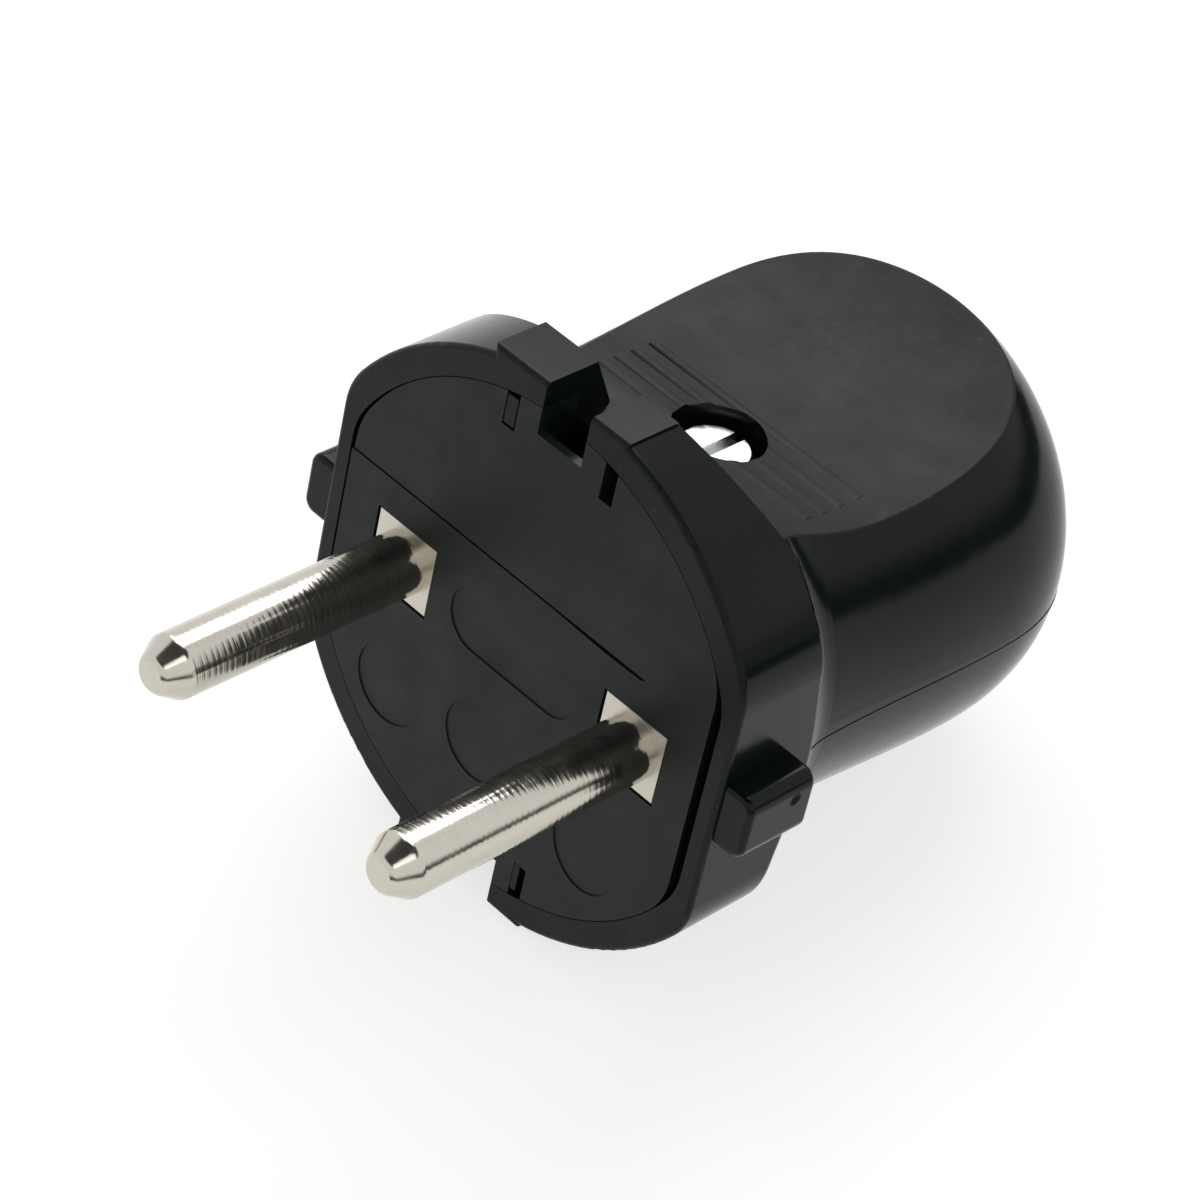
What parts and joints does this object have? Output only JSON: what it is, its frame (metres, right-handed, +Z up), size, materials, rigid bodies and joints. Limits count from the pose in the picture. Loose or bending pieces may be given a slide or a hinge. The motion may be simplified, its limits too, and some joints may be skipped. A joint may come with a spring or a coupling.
{
  "type": "electrical plug",
  "caption": "Rewirable unearthed mains plug: domed moulded hood with a flanged mouth that holds a split pin carrier, round pins on square bar, cover screw and cord clamp.",
  "frame": {"origin": "on the resting plane, under the middle of the plug's overall box", "axes": "+Z up; +X across the pins, from the left pin to the right; -Y towards the pin tips. The plug lies nose up by about 10 degrees, on the back edge of its flange and the rear end of its lower pad."},
  "size_m": [0.0368, 0.056, 0.0362],
  "materials": {
    "hood_plastic": "semi-gloss moulded black",
    "insert_plastic": "satin moulded black",
    "pin_nickel": "brass, bright nickel plated",
    "zinc_steel": "bright zinc plate",
    "brass_parts": "plain brass"
  },
  "bodies": {
    "root": {"hood": "hood_plastic", "pin_carrier": "insert_plastic", "carrier_cap": "insert_plastic", "left_pin": "pin_nickel", "right_pin": "pin_nickel", "left_terminal_screw": "brass_parts", "right_terminal_screw": "brass_parts", "cover_screw": "zinc_steel", "cover_nut": "zinc_steel", "cord_clamp_bar": "insert_plastic", "left_clamp_screw": "zinc_steel", "right_clamp_screw": "zinc_steel"}
  },
  "joints": []
}
